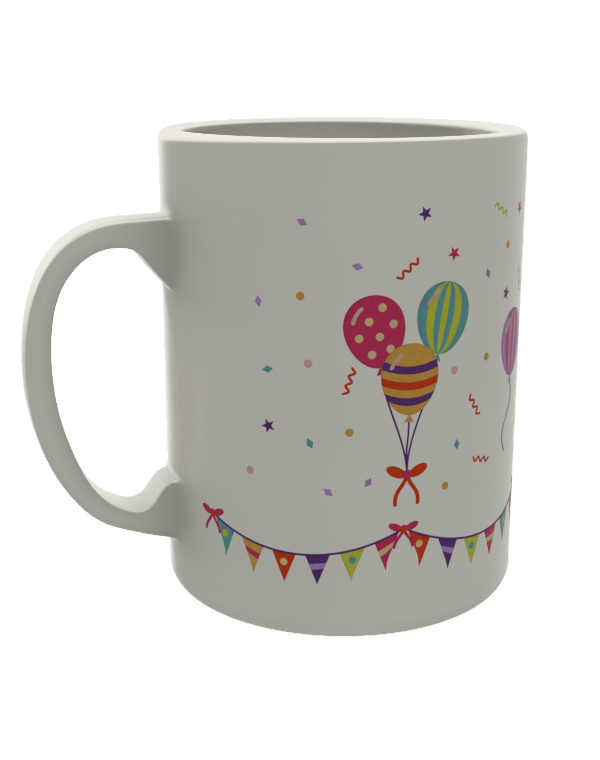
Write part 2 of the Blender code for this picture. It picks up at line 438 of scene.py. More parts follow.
def root_rings(leaving, inward, window, up_is):
    """Rings from the window's edge over the wall and up the blend, to where the strap begins.

    On the wall they are even steps from the window's square edge to the blend's foot. The blend
    is a curve of six controls that leaves the wall and meets the strap with no bend of its own.
    """
    start = wall_places(strap_points(leaving[None]))[0]
    before = wall_places(strap_points(leaving[None] + inward))[0]
    corner = start - (start - before) * (start[:, 2:] / (start - before)[:, 2:])
    across, up = np.cos(LOOP_FACING), up_is * np.sin(LOOP_FACING)
    outward = np.stack((across, up, np.zeros(len(leaving))), axis=1)
    foot = corner + by_facing(*BLEND_ON_WALL)[:, None] * outward
    edge = wall_places(window)
    part = (np.arange(1, PATCH_RINGS) / PATCH_RINGS)[:, None, None]
    patch = edge * (1 - part) + foot * part
    controls = (
        foot, foot + BLEND_NEAR * (corner - foot), foot + BLEND_FAR * (corner - foot),
        start + BLEND_FAR * (corner - start), start + BLEND_NEAR * (corner - start), start,
    )
    go = np.linspace(0.0, 1.0, BLEND_RINGS + 1)[:-1, None, None]
    weights = [math.comb(5, power) * go**power * (1 - go) ** (5 - power) for power in range(6)]
    blend = sum(weight * control for weight, control in zip(weights, controls))
    return from_wall_places(np.concatenate((patch, blend)))


def window_loop(first_row, last_row):
    """Numbers of the points round a window, in the order of the strap's loop."""
    step = 1 if last_row > first_row else -1
    columns = np.arange(first_column, last_column)
    rows = np.arange(first_row, last_row, step)
    return np.concatenate((
        body_index[first_row, columns], body_index[rows, last_column],
        body_index[last_row, columns[::-1] + 1], body_index[rows[::-1] + step, first_column],
    ))


STRAP_END = STATION_PLACES[-1]
upper_loop = window_loop(upper_rows[0], upper_rows[1])
lower_loop = window_loop(lower_rows[1], lower_rows[0])
near_root = np.linspace(*ROOT_SEARCH, ROOT_SEARCH_STEPS)
upper_leaving = leaving_place(near_root)
lower_leaving = leaving_place(STRAP_END - near_root)
upper_rings = root_rings(upper_leaving, -INWARD_STEP, body_points[upper_loop], 1)
lower_rings = root_rings(lower_leaving, INWARD_STEP, body_points[lower_loop], -1)
share = np.linspace(0.0, 1.0, HANDLE_RINGS + 1)[:, None]
strap = strap_points(upper_leaving * (1 - share) + lower_leaving * share)
handle_rings = np.concatenate((upper_rings, strap, lower_rings[::-1]))

handle_index = np.arange(handle_rings[..., 0].size).reshape(handle_rings.shape[:2])
handle_index += len(body_points)
handle_index = np.vstack((upper_loop[None], handle_index, lower_loop[None]))
handle_quads = cells(handle_index, closed=True).reshape(-1, 4)
mug_points = np.vstack((body_points, handle_rings.reshape(-1, 3), floor_pole, recess_pole))
floor_number, recess_number = len(mug_points) - 2, len(mug_points) - 1
first_ring, last_ring = body_index[0], body_index[-1]
floor_fan = np.stack((np.full(TURNS, floor_number), first_ring, np.roll(first_ring, -1)), axis=1)
recess_fan = np.stack((last_ring, np.full(TURNS, recess_number), np.roll(last_ring, -1)), axis=1)


def make_piece(name, points, quads, triangles, material):
    """A mesh object at the origin from arrays, without unused points, riding on the mug's body."""
    numbers = np.concatenate((quads.ravel(), triangles.ravel()))
    used, numbers = np.unique(numbers, return_inverse=True)
    quads = numbers[:quads.size].reshape(-1, 4)
    triangles = numbers[quads.size:].reshape(-1, 3)
    mesh = bpy.data.meshes.new(name)
    mesh.from_pydata(points[used].tolist(), [], quads.tolist() + triangles.tolist())
    mesh.shade_smooth()
    mesh.materials.append(material)
    piece = bpy.data.objects.new(name, mesh)
    bpy.context.scene.collection.objects.link(piece)
    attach(piece, "root")
    return piece


def smooth_step(value, low, high):
    """0 below low, 1 above high, and three times the square less twice the cube between."""
    part = np.clip((value - low) / (high - low), 0.0, 1.0)
    return part**2 * (3 - 2 * part)


def painted_glaze_shade(mesh):
    """Painted shade: how much greyer the glaze's colour is made, from 0 to 1, outside and inside
    the cup, standing in for the shade round the handle and in the cup's hollow.

    In the corner beside a root it is the exponential of the distance from the line up the wall
    behind it, and beyond the line's ends it falls faster. On the strap's sides it is the square
    of the nearness to the inner outline. On the strap's faces that look up, which the lamp lights,
    it is the exponential of the distance from the wall, by a power of how far they look up, and
    fades out. Inside the cup it goes from the lip's share to the wall's, and then falls by the
    exponential of the depth.
    """
    points = np.empty(len(mesh.vertices) * 3)
    mesh.vertices.foreach_get("co", points)
    points = points.reshape(-1, 3) - (AXIS_X, 0.0, 0.0)
    facing = np.empty(len(mesh.vertices) * 3)
    mesh.vertex_normals.foreach_get("vector", facing)
    facing = facing.reshape(-1, 3)
    reach = np.hypot(points[:, 0], points[:, 1])
    # Painted shade in the corner beside each root, where the handle shades the wall.
    root_shade = np.zeros(len(points))
    for high, low in (UPPER_ROOT, LOWER_ROOT[::-1]):
        above = points[:, 2] - (high - SHADE_STOPS_SHORT)
        below = low + SHADE_STOPS_SHORT - points[:, 2]
        beyond = np.maximum(np.maximum(above, below), 0.0)
        aside = np.hypot(points[:, 0] + WALL_RADIUS, points[:, 1])
        distance = np.hypot(aside, SHADE_ENDS_STEEPER * beyond)
        root_shade += SHADE_DEPTH * np.exp(-np.maximum(distance - SHADE_CORE, 0.0) / SHADE_REACH)
    # Painted shade on the strap's sides, growing with the square of the nearness to the inner
    # outline.
    places = np.linspace(0.0, STRAP_END, SHADE_OUTLINE_POINTS)
    outlines = spline_at(STATION_POINTS.reshape(-1, 4), STATION_PLACES, places)
    from_handle, height = -points[:, 0, None], points[:, 2, None]
    to_outer, to_inner = [
        np.hypot(from_handle - outlines[:, side], height - outlines[:, side + 1]).min(axis=1)
        for side in (0, 2)
    ]
    edge_shade = SHADE_INNER_EDGE * (to_outer / (to_outer + to_inner)) ** 2 * facing[:, 1] ** 2
    # Painted shade on the strap's lit up-facing faces, by how far they look up and how near the
    # wall they are.
    from_wall = np.maximum(reach - WALL_RADIUS - SHADE_TOPS_CORE, 0.0)
    looks = np.maximum(facing[:, 2], 0.0) ** LOOKS_UP_POWER
    looks *= 1 - smooth_step(np.abs(facing[:, 1]), *LOOKS_ASIDE)
    looks *= 1 - smooth_step(from_wall, *SHADE_TOPS_FADE)
    upper = points[:, 2] > HEIGHT / 2
    fall = np.exp(-from_wall / np.where(upper, *SHADE_TOPS_REACH))
    tops = np.where(upper, *SHADE_ON_TOPS) * fall * looks
    on_strap = np.maximum(edge_shade, tops) * (reach > WALL_RADIUS + SHADE_OFF_WALL_BEYOND)
    outside = np.maximum(root_shade * (reach > WALL_RADIUS - SHADE_ON_WALL_WITHIN), on_strap)
    # Painted shade inside the cup, strongest under the lip and fading with depth.
    above_floor = points[:, 2] > FLOOR_THICKNESS - SHADE_BELOW_FLOOR
    within = smooth_step(rim_centre - reach, *SHADE_FROM_CREST) * above_floor
    depth = HEIGHT - points[:, 2]
    share = SHADE_INNER_LIP + (SHADE_INSIDE - SHADE_INNER_LIP) * smooth_step(depth, *SHADE_BELOW_LIP)
    deeper = np.maximum(depth - SHADE_BELOW_LIP[1], 0.0)
    inside = within * share * np.exp(-deeper / SHADE_DOWN_INSIDE)
    return np.clip(outside, 0.0, 1.0), np.clip(inside, 0.0, 1.0)


def new_material(name):
    """An empty finish: the material, its nodes and links, and its surface shader."""
    material = bpy.data.materials.new(name)
    material.use_nodes = True
    tree = material.node_tree
    return material, tree.nodes, tree.links, tree.nodes["Principled BSDF"]


def new_node(nodes, kind, values):
    """A node with these values on its inputs."""
    node = nodes.new(kind)
    for label, value in values.items():
        node.inputs[label].default_value = value
    return node


def clouds(nodes, links, scale, detail):
    """Soft noise on the piece's own coordinates."""
    place = nodes.new("ShaderNodeTexCoord")
    noise = new_node(nodes, "ShaderNodeTexNoise", {"Scale": scale, "Detail": detail})
    links.new(place.outputs["Object"], noise.inputs["Vector"])
    return noise.outputs["Fac"]


def toned(nodes, links, share, stops):
    """Runs a share through tones, each given as (position, colour)."""
    ramp = nodes.new("ShaderNodeValToRGB")
    tones = ramp.color_ramp.elements
    while len(tones) < len(stops):
        tones.new(1.0)
    for tone, (position, colour) in zip(tones, stops):
        tone.position = position
        tone.color = colour
    links.new(share, ramp.inputs["Fac"])
    return ramp.outputs["Color"]


def uneven_gloss(nodes, links, share, low, high, shader):
    """Spreads the shader's roughness between low and high by a share."""
    gloss = new_node(nodes, "ShaderNodeMapRange", {"To Min": low, "To Max": high})
    links.new(share, gloss.inputs["Value"])
    links.new(gloss.outputs["Result"], shader.inputs["Roughness"])


def raised(nodes, links, share, strength, height, shader):
    """Lifts the surface by a share of the height."""
    bump = new_node(nodes, "ShaderNodeBump", {"Strength": strength, "Distance": height})
    links.new(share, bump.inputs["Height"])
    links.new(bump.outputs["Normal"], shader.inputs["Normal"])


def white_glaze():
    """Warm white glaze: faint cloudy tone, painted shade from two attributes, a soft ripple, uneven
    gloss.
    """
    material, nodes, links, shader = new_material("white_glaze")
    shader.inputs["IOR"].default_value = GLAZE_IOR
    cloud = clouds(nodes, links, *GLAZE_CLOUDS)
    tone = toned(nodes, links, cloud, GLAZE_TONES)
    # Painted shade: each attribute mixes the glaze's tone towards its near-black.
    for name, shade_tone in PAINTED_SHADE_TONES.items():
        shade_amount = nodes.new("ShaderNodeAttribute")
        shade_amount.attribute_name = name
        darken = nodes.new("ShaderNodeMix")
        darken.data_type = "RGBA"
        darken.inputs["B"].default_value = shade_tone
        links.new(shade_amount.outputs["Fac"], darken.inputs["Factor"])
        links.new(tone, darken.inputs["A"])
        tone = darken.outputs["Result"]
    links.new(tone, shader.inputs["Base Color"])
    uneven_gloss(nodes, links, cloud, *GLAZE_GLOSS, shader)
    raised(nodes, links, clouds(nodes, links, *GLAZE_RIPPLES), *GLAZE_RIPPLE_BUMP, shader)
    return material


mug = make_piece(
    "glazed_mug", mug_points + (AXIS_X, 0.0, 0.0), np.vstack((body_quads, handle_quads)),
    np.vstack((floor_fan, recess_fan)), white_glaze(),
)
# Painted shade is stored on the points as two attributes, which the glaze reads.
for name, painted_share in zip(PAINTED_SHADE_TONES, painted_glaze_shade(mug.data)):
    mug.data.attributes.new(name, "FLOAT", "POINT").data.foreach_set("value", painted_share)
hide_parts("mug")


# Foot: the ring that the mug stands on, wiped clear of glaze before firing so that it doesn't
# stick to the kiln shelf. It is the body's own clay, matt and a little gritty.
FOOT_EDGE = 0.00004
FOOT_BURIED = 0.0009
FOOT_ROUND_STEPS = 8
FOOT_FLAT_STEPS = 5
FOOT_EDGE_STEPS = 4
FOOT_ROUGHNESS = 0.85
FOOT_GRAIN = (1400.0, 4.0)
FOOT_GRAIN_BUMP = (0.5, 0.00005)
FOOT_TONES = ((0.0, (0.66, 0.61, 0.52, 1.0)), (1.0, (0.80, 0.76, 0.68, 1.0)))


def foot_section():
    """The ring's closed outline (radius, height): a rise by the glaze edge, the base's own round
    (height is the round less the root of its square less the reach's square), the flat that it
    stands on, and the inner edge, whose top is buried in the body."""
    round_centre = WALL_RADIUS - BASE_ROUND
    glaze_stops = round_centre + math.sqrt(BASE_ROUND**2 - (BASE_ROUND - GLAZE_LINE) ** 2)
    starts = glaze_stops - 2 * GLAZE_EDGE - round_centre
    reach = np.linspace(starts, 0.0, FOOT_ROUND_STEPS + 1)
    sole = np.stack((round_centre + reach, BASE_ROUND - np.sqrt(BASE_ROUND**2 - reach**2)), axis=1)
    inner = round_centre - FOOT_WIDTH
    edge_radius = 2 * FOOT_EDGE
    inwards = np.linspace(round_centre, inner + edge_radius, FOOT_FLAT_STEPS + 1)[1:]
    flat = np.stack((inwards, np.zeros_like(inwards)), axis=1)
    edge_centre = (inner + edge_radius, edge_radius)
    edge = circle_arc(edge_centre, edge_radius, -90, -180, FOOT_EDGE_STEPS)[1:]
    tops = np.array(((inner, FOOT_BURIED), (sole[0, 0], FOOT_BURIED)))
    return np.vstack((tops[1:], sole, flat, edge, tops[:1]))


def bare_clay():
    """Matt fired clay: a fine grain in its colour and its bump."""
    material, nodes, links, shader = new_material("bare_clay")
    shader.inputs["Roughness"].default_value = FOOT_ROUGHNESS
    grain = clouds(nodes, links, *FOOT_GRAIN)
    links.new(toned(nodes, links, grain, FOOT_TONES), shader.inputs["Base Color"])
    raised(nodes, links, grain, *FOOT_GRAIN_BUMP, shader)
    return material


foot_rings = rings(foot_section(), TURNS)
foot_index = np.arange(foot_rings[..., 0].size).reshape(foot_rings.shape[:2])
foot_index = np.vstack((foot_index, foot_index[:1]))
no_triangles = np.empty((0, 3), int)
make_piece(
    "bare_foot_ring", foot_rings.reshape(-1, 3) + (AXIS_X, 0.0, 0.0),
    cells(foot_index, closed=True).reshape(-1, 4), no_triangles, bare_clay(),
)


# Print: a festive pattern in ceramic inks, screened on a transfer, slid onto the glaze and fired
# until it sinks in. Each colour is a film a few hundredths of a millimetre thick.
INK_LIFT = 0.000012
INK_LAYER = 0.000006
INK_DEPTH = 0.00008
INK_CLOUDS = (700.0, 2.0)
INK_STRENGTHS = ((0.25, 0.90), (0.75, 1.06))
INK_GLOSS = (0.20, 0.34)
INK_SHINE = 0.10
STAR_NOTCH = 0.42
DOT_STEPS = 6
RIBBON_END_INSET = 0.97
INK_TONES = {
    "crimson": (0.600, 0.034, 0.121),
    "orange": (0.680, 0.047, 0.004),
    "mustard": (0.678, 0.360, 0.066),
    "chartreuse": (0.564, 0.600, 0.047),
    "teal": (0.128, 0.373, 0.387),
    "purple": (0.120, 0.034, 0.205),
    "lilac": (0.480, 0.270, 0.600),
    "pink": (0.730, 0.450, 0.373),
    "cream": (0.730, 0.582, 0.282),
}


def on_wall(along, height, lift):
    """Round the wall: along over the body's radius is the angle from the handle, towards -Y."""
    turn = along / BODY_RADIUS
    reach = WALL_RADIUS + lift
    return np.stack((AXIS_X - reach * np.cos(turn), -reach * np.sin(turn), height), axis=-1)


def film(along, height, layer):
    """A thin closed sheet of ink over any open grid of places on the wall.

    Its top lies one lift and a little for each layer off the wall, its underside lies in the
    glaze, and a strip of quads closes its edge.
    """
    height = np.broadcast_to(height, along.shape)
    turned = np.sum(
        np.diff(along, axis=0)[:, :-1] * np.diff(height, axis=1)[:-1]
        - np.diff(height, axis=0)[:, :-1] * np.diff(along, axis=1)[:-1]
    ) < 0
    if turned:
        along, height = along[::-1], height[::-1]
    top = on_wall(along, height, INK_LIFT + INK_LAYER * layer)
    under = on_wall(along, height, -INK_DEPTH)
    index = np.arange(along.size).reshape(along.shape)
    upper = cells(index, closed=False).reshape(-1, 4)
    border = np.concatenate((index[:-1, 0], index[-1, :-1], index[:0:-1, -1], index[0, :0:-1]))
    beyond = np.roll(border, -1)
    edge = np.stack((border, border + along.size, beyond + along.size, beyond), axis=1)
    quads = np.vstack((upper, upper[:, ::-1] + along.size, edge))
    return np.vstack((top.reshape(-1, 3), under.reshape(-1, 3))), quads


def ring_grid(steps):
    """A square grid bent into rings, as (turn, radius) of each point.

    The radius is the larger of the two distances from the middle, and the turn is the share of
    the way round the square through that point, so any outline read by turn fills with quads.
    """
    side = np.linspace(-1.0, 1.0, steps + 1)
    across, up = np.meshgrid(side, side, indexing="ij")
    radius = np.maximum(np.abs(across), np.abs(up))
    slack = 1e-7
    safe = np.maximum(radius, slack / 100)
    quarter = np.select(
        (across >= safe - slack, up >= safe - slack, across <= -safe + slack),
        (up / safe / 2, 1 - across / safe / 2, 2 - up / safe / 2),
        3 + across / safe / 2,
    )
    return quarter * math.pi / 2, radius


def filled(outline, centre, lean, steps, layer):
    """An outline, which gives (across, up) for each turn, leant over, placed and filled."""
    turn, radius = ring_grid(steps)
    across, up = outline(turn)
    along = centre[0] + radius * (across * math.cos(lean) - up * math.sin(lean))
    height = centre[1] + radius * (across * math.sin(lean) + up * math.cos(lean))
    return film(along, height, layer)


def oval(half_width, half_height, fullness=0.0):
    """Cosine across and sine up; fullness times the sine widens its top and narrows its foot."""
    def outline(turn):
        across = half_width * np.cos(turn) * (1 + fullness * np.sin(turn))
        return across, half_height * np.sin(turn)
    return outline


def cornered(corners):
    """Straight runs between corners, each (across, up), spread evenly from straight up."""
    corners = np.array(corners + corners[:1])

    def outline(turn):
        way_round = (turn / (2 * math.pi) - 0.25) % 1.0 * (len(corners) - 1)
        numbers = np.arange(len(corners))
        return [np.interp(way_round, numbers, corners[:, axis]) for axis in range(2)]
    return outline


def star(radius):
    """Five points at the radius with notches between them."""
    turns = math.pi / 2 + np.arange(10) * math.pi / 5
    reach = radius * np.where(np.arange(10) % 2 == 0, 1.0, STAR_NOTCH)
    return cornered(list(zip((reach * np.cos(turns)).tolist(), (reach * np.sin(turns)).tolist())))


def dot(radius, centre, layer):
    """A filled circle."""
    return filled(oval(radius, radius), centre, 0.0, DOT_STEPS, layer)


def ribbon(along, height, width, layer):
    """A strip along a path, square to it, whose ends round off over half its width."""
    run_along, run_up = np.gradient(along), np.gradient(height)
    run = np.hypot(run_along, run_up)
    gone = np.concatenate(([0.0], np.cumsum(np.hypot(np.diff(along), np.diff(height)))))
    to_end = np.minimum(gone, gone[-1] - gone)
    inset = np.clip(1 - to_end / (width / 2), 0.0, RIBBON_END_INSET)
    spread = width * np.sqrt(1 - inset**2)
    side = np.linspace(-0.5, 0.5, 3)[:, None]
    to_left = along - run_up / run * spread * side
    return film(to_left, height + run_along / run * spread * side, layer)


def curved(start, start_pull, end_pull, end, count):
    """A cubic curve between two places, steered by two pulls, its points closer at its ends."""
    go = (1 - np.cos(np.linspace(0.0, math.pi, count))) / 2
    weights = [math.comb(3, power) * go**power * (1 - go) ** (3 - power) for power in range(4)]
    steered = list(zip(weights, (start, start_pull, end_pull, end)))
    return [sum(weight * place[axis] for weight, place in steered) for axis in range(2)]


def moved(place, across, up=0.0):
    """The place that stands this far across and up from another."""
    return place[0] + across, place[1] + up


ink_sheets = {}


def lay(motif, colour, sheet):
    """Keeps a sheet of ink with the others of its motif and colour."""
    ink_sheets.setdefault((motif, colour), []).append(sheet)


# Garland: printed pennants on a cord that hangs in swags round the foot of the mug.
SWAG_STARTS = 0.0200
SWAG_LENGTH = 0.0460
SWAGS = 5
SWAG_TOP = 0.0270
SWAG_SAG = 0.0058
CORD_WIDTH = 0.00048
CORD_LAYER = 3
CORD_POINTS = 65
PENNANTS_IN_SWAG = 6
PENNANT_WIDTH = 0.0056
PENNANT_DROP = 0.0068
PENNANT_TAPER = 0.96
PENNANT_GRID = (7, 9)
PENNANT_BAND = (0.30, 0.20)
PENNANT_DOT = 0.00088
PENNANT_DOT_DROP = 0.0023
PENNANT_COLOURS = ("crimson", "teal", "mustard", "orange", "purple", "chartreuse")
PENNANT_MARKS = {
    "crimson": "cream", "teal": "chartreuse", "mustard": "crimson",
    "orange": "cream", "purple": "lilac", "chartreuse": "teal",
}
GARLAND_BOW = {
    "loop": (0.00175, 0.00085), "loop_at": (0.0019, 0.0004), "lean": 0.42, "loop_steps": 8,
    "tail": ((0.0005, -0.0020), (0.0022, -0.0024), (0.0022, -0.0046)), "tail_steps": 16,
    "tail_width": 0.0007, "knot": 0.00085, "colours": ("crimson", "orange"), "layer": 4,
}


def cord_height(along):
    """Each swag is a parabola: its sag times four times the share gone times the share left."""
    share = (along - SWAG_STARTS) / SWAG_LENGTH % 1.0
    return SWAG_TOP - SWAG_SAG * 4 * share * (1 - share)


def pennant(middle, across, down, layer):
    """Ink over part of a pennant: its sides close in by the taper as it hangs from the cord."""
    along = middle + across * PENNANT_WIDTH * (1 - PENNANT_TAPER * down)
    height = cord_height(middle + across * PENNANT_WIDTH) - PENNANT_DROP * down
    return film(along, height, layer)


def bow(tied_at, loop, loop_at, lean, loop_steps, tail, tail_steps, tail_width, knot,
        colours, layer):
    """Two oval loops leant outwards, two tails that curve down, and a round knot over them."""
    for side in (-1, 1):
        place = moved(tied_at, side * loop_at[0], loop_at[1])
        lay("bows", colours[0], filled(oval(*loop), place, side * lean, loop_steps, layer))
        steered = [moved(tied_at, side * across, up) for across, up in tail]
        path = curved(tied_at, *steered, tail_steps)
        lay("bows", colours[0], ribbon(*path, tail_width, layer))
    lay("bows", colours[1], dot(knot, tied_at, layer + 1))


across = np.linspace(-0.5, 0.5, PENNANT_GRID[0])[:, None]
down = np.linspace(0.0, 1.0, PENNANT_GRID[1])[None]
for swag in range(SWAGS):
    starts = SWAG_STARTS + swag * SWAG_LENGTH
    path = starts + SWAG_LENGTH * (1 - np.cos(np.linspace(0.0, math.pi, CORD_POINTS))) / 2
    lay("cord", "purple", ribbon(path, cord_height(path), CORD_WIDTH, CORD_LAYER))
    for number in range(PENNANTS_IN_SWAG):
        colour = PENNANT_COLOURS[(number + 2 * swag + 1) % len(PENNANT_COLOURS)]
        mark = PENNANT_MARKS[colour]
        middle = starts + SWAG_LENGTH * (number + 0.5) / PENNANTS_IN_SWAG
        lay("pennants", colour, pennant(middle, across, down, 0))
        if number % 2:
            band = PENNANT_BAND[0] + PENNANT_BAND[1] * down
            lay("pennant_marks", mark, pennant(middle, across, band, 1))
        else:
            dot_at = (middle, cord_height(middle) - PENNANT_DOT_DROP)
            lay("pennant_marks", mark, dot(PENNANT_DOT, dot_at, 1))
for knot in range(SWAGS + 1):
    bow((SWAG_STARTS + knot * SWAG_LENGTH, SWAG_TOP), **GARLAND_BOW)


# Balloons: a bunch of three on both faces of the mug and a single one beside it, each a plain
# printed oval with its own decoration, a knot and a string.
BALLOON_HALF_WIDTH = 0.0066
BALLOON_HALF_HEIGHT = 0.0079
BALLOON_FULLNESS = 0.13
BALLOON_STEPS = 18
BALLOON_KNOT_BELOW = 0.0006
BALLOON_KNOT = (
    (0.0, 0.0009), (-0.0007, -0.0002), (-0.0011, -0.0010), (0.0, -0.0008), (0.0011, -0.0010),
    (0.0007, -0.0002),
)
KNOT_STEPS = 6
BALLOON_DOT = 0.00092
BALLOON_DOTS = (
    (-0.0010, 0.0024), (0.0022, 0.0049), (0.0041, 0.0010), (0.0008, -0.0012),
    (-0.0036, -0.0008), (0.0027, -0.0042), (-0.0014, -0.0047),
)
BALLOON_GORES = ((-0.66, -0.36), (-0.12, 0.12), (0.36, 0.66))
GORE_REACH = 0.985
GORE_GRID = (13, 17)
BALLOON_BANDS = ((0.30, 0.52), (-0.14, 0.08), (-0.58, -0.36))
MIDDLE_BAND_COLOUR = "orange"
BAND_REACH = 0.995
BAND_GRID = (5, 17)
BAND_SAG = 0.16
GLINT_TURNS = (112.0, 158.0)
GLINT_POINTS = 24
GLINT_OUT = (0.74, 0.76)
GLINT_WIDTH = 0.0009
GLINT_COLOUR = "pink"
STRING_BELOW = 0.0014
STRING_WIDTH = 0.00042
FACE_SPACING = 0.1260
BUNCH_TIED_AT = (0.0665, 0.0395)
BUNCH = (
    ((0.0588, 0.0715), math.radians(9), "crimson", "dots", "cream", 0),
    ((0.0745, 0.0735), math.radians(-10), "teal", "gores", "chartreuse", 0),
    ((0.0668, 0.0608), math.radians(-1), "mustard", "bands", "purple", 2),
)
SINGLE = ((0.1010, 0.0640), math.radians(-4), "lilac", "gores", "crimson", 0)
SINGLE_STRING_ENDS = (0.0985, 0.0385)
SINGLE_STRING_POINTS = 40
SINGLE_STRING_PULLS = ((0.0050, -0.0070), (-0.0060, 0.0075))
BUNCH_STRING_POINTS = 34
BUNCH_STRING_SWAY = (0.0012, 6)
BUNCH_STRING_DROP = 0.0075
BUNCH_STRING_PULL = (-0.0006, 0.0085)
BUNCH_BOW = {
    "loop": (0.0024, 0.0012), "loop_at": (0.0026, 0.0007), "lean": 0.46, "loop_steps": 10,
    "tail": ((0.0006, -0.0030), (0.0032, -0.0034), (0.0026, -0.0072)), "tail_steps": 20,
    "tail_width": 0.0009, "knot": 0.0011, "colours": ("orange", "crimson"), "layer": 2,
}


def balloon_edge(up_share):
    """The balloon's half width at a share of its half height: the root of one less its square."""
    return BALLOON_HALF_WIDTH * np.sqrt(1 - up_share**2) * (1 + BALLOON_FULLNESS * up_share)


def leant(across, up, centre, lean):
    """Turns (across, up) by the lean and moves it to the centre."""
    return (centre[0] + across * math.cos(lean) - up * math.sin(lean),
            centre[1] + across * math.sin(lean) + up * math.cos(lean))


def balloon(centre, lean, colour, style, mark, layer):
    """A filled oval with a knot below it, its marks and a glint. Gives where its string starts."""
    skin = oval(BALLOON_HALF_WIDTH, BALLOON_HALF_HEIGHT, BALLOON_FULLNESS)
    lay("balloons", colour, filled(skin, centre, lean, BALLOON_STEPS, layer))
    knot_at = leant(0.0, -BALLOON_HALF_HEIGHT - BALLOON_KNOT_BELOW, centre, lean)
    lay("balloons", colour, filled(cornered(BALLOON_KNOT), knot_at, lean, KNOT_STEPS, layer))
    if style == "dots":
        for across, up in BALLOON_DOTS:
            dot_at = leant(across, up, centre, lean)
            lay("balloon_marks", mark, dot(BALLOON_DOT, dot_at, layer + 1))
    if style == "gores":
        up_share = GORE_REACH * np.linspace(-1.0, 1.0, GORE_GRID[1])[None]
        for low, high in BALLOON_GORES:
            across = balloon_edge(up_share) * np.linspace(low, high, GORE_GRID[0])[:, None]
            places = leant(across, BALLOON_HALF_HEIGHT * up_share, centre, lean)
            lay("balloon_marks", mark, film(*places, layer + 1))
    if style == "bands":
        side = np.linspace(-1.0, 1.0, BAND_GRID[1])[None]
        for (low, high), shade in zip(BALLOON_BANDS, (mark, MIDDLE_BAND_COLOUR, mark)):
            up_share = np.linspace(low, high, BAND_GRID[0])[:, None]
            across = balloon_edge(up_share) * side * BAND_REACH
            up = BALLOON_HALF_HEIGHT * (up_share - BAND_SAG * (1 - side**2))
            lay("balloon_marks", shade, film(*leant(across, up, centre, lean), layer + 1))
    turn = np.radians(np.linspace(*GLINT_TURNS, GLINT_POINTS))
    out, up = GLINT_OUT[0] * BALLOON_HALF_WIDTH, GLINT_OUT[1] * BALLOON_HALF_HEIGHT
    glint = leant(out * np.cos(turn), up * np.sin(turn), centre, lean)
    lay("glints", GLINT_COLOUR, ribbon(*glint, GLINT_WIDTH, layer + 2))
    return leant(0.0, -BALLOON_HALF_HEIGHT - STRING_BELOW, centre, lean)


for face in range(2):
    shift = face * FACE_SPACING
    tie = moved(BUNCH_TIED_AT, shift)
    for centre, lean, *looks in BUNCH:
        starts = balloon(moved(centre, shift), lean, *looks)
        sway = BUNCH_STRING_SWAY[0] * math.sin(BUNCH_STRING_SWAY[1] * lean)
        pulls = moved(starts, sway, -BUNCH_STRING_DROP), moved(tie, *BUNCH_STRING_PULL)
        path = curved(starts, *pulls, tie, BUNCH_STRING_POINTS)
        lay("strings", "purple", ribbon(*path, STRING_WIDTH, 0))
    bow(tie, **BUNCH_BOW)
    centre, *looks = SINGLE
    starts = balloon(moved(centre, shift), *looks)
    ends = moved(SINGLE_STRING_ENDS, shift)
    pulls = [moved(place, *by) for place, by in zip((starts, ends), SINGLE_STRING_PULLS)]
    path = curved(starts, *pulls, ends, SINGLE_STRING_POINTS)
    lay("strings", "purple", ribbon(*path, STRING_WIDTH, 0))


# Confetti: stars, dots, diamonds and short streamers strewn round the balloons.
CONFETTI_SEED = 11
CONFETTI_TRIES = 900
CONFETTI_APART = 0.0088
CONFETTI_ROOM = 0.0042
CONFETTI_SPREAD = (0.0210, 0.0170)
CONFETTI_MIDDLE = (0.0760, 0.0640)
CONFETTI_HEIGHTS = (0.0345, 0.0960)
CONFETTI_ALONG = (0.0300, 0.1240)
CONFETTI_COLOURS = (
    "crimson", "orange", "teal", "mustard", "purple", "chartreuse", "lilac", "pink",
)
ROOM_BY_STRINGS = (
    (BUNCH_TIED_AT[0], 0.0080, 0.0620), (SINGLE_STRING_ENDS[0], 0.0065, 0.0580),
)
STAR_RADIUS = 0.0017
STAR_STEPS = 10
DOT_RADIUS = 0.0009
DIAMOND = ((0.0, 0.0013), (-0.0008, 0.0), (0.0, -0.0013), (0.0008, 0.0))
DIAMOND_STEPS = 4
STREAMER_LENGTH = 0.0064
STREAMER_WAVE = 0.00052
STREAMER_WAVES = 3
STREAMER_WIDTH = 0.00055
STREAMER_POINTS = 43


def clear_of_balloons(along, height):
    """Whether a place keeps its room from every balloon's oval and every string."""
    for centre, *_ in BUNCH + (SINGLE,):
        reach = math.hypot((along - centre[0]) / (BALLOON_HALF_WIDTH + CONFETTI_ROOM),
                           (height - centre[1]) / (BALLOON_HALF_HEIGHT + CONFETTI_ROOM))
        if reach < 1:
            return False
    return not any(
        abs(along - strings_at) < room and height < below
        for strings_at, room, below in ROOM_BY_STRINGS
    )


